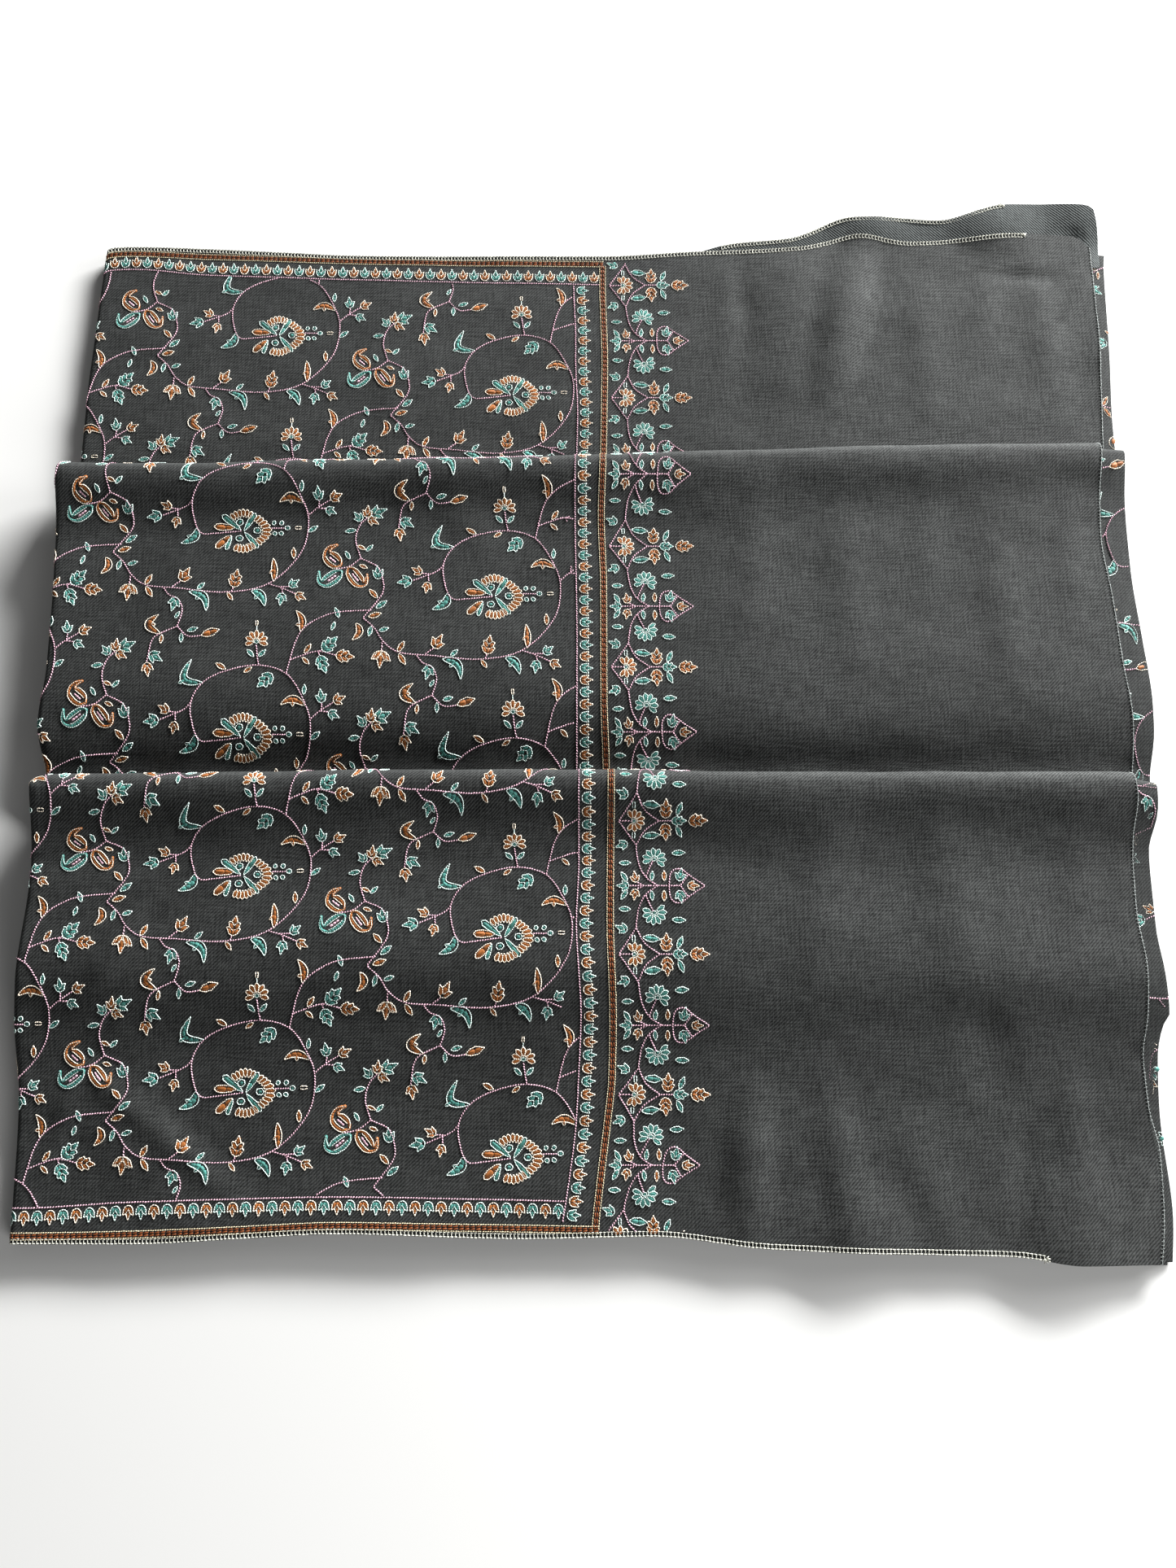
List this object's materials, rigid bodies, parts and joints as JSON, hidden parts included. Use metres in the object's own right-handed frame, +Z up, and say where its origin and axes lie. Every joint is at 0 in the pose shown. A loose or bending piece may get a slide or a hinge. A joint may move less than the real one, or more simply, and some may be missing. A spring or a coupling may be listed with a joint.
{
  "type": "folded shawl",
  "caption": "Fine charcoal twill shawl with embroidered trellis and flower border, folded lengthwise and laid flat in stepped tiers with soft rounded folds.",
  "frame": {"origin": "centre of the underside, on the surface that the folded shawl lies on", "axes": "+X to the right along the folded width, +Y to the back, towards the hem that lies lowest, +Z up"},
  "size_m": [0.4998, 0.4937, 0.018],
  "materials": {
    "twill_face": "fine matt twill, charcoal",
    "twill_reverse": "fine matt twill, slightly lighter charcoal",
    "thread_pink": "soft stranded embroidery thread",
    "thread_teal": "soft stranded embroidery thread",
    "thread_mint": "soft stranded embroidery thread",
    "thread_orange": "soft stranded embroidery thread",
    "thread_cream": "soft stranded embroidery thread"
  },
  "bodies": {
    "root": {"back_top": "twill_face", "back_second": "twill_reverse", "back_fold": "twill_face", "middle_top": "twill_face", "middle_fold": "twill_face", "middle_pleat": "twill_reverse", "front_top": "twill_face", "front_fold": "twill_face", "front_pleat": "twill_reverse"}
  },
  "joints": []
}
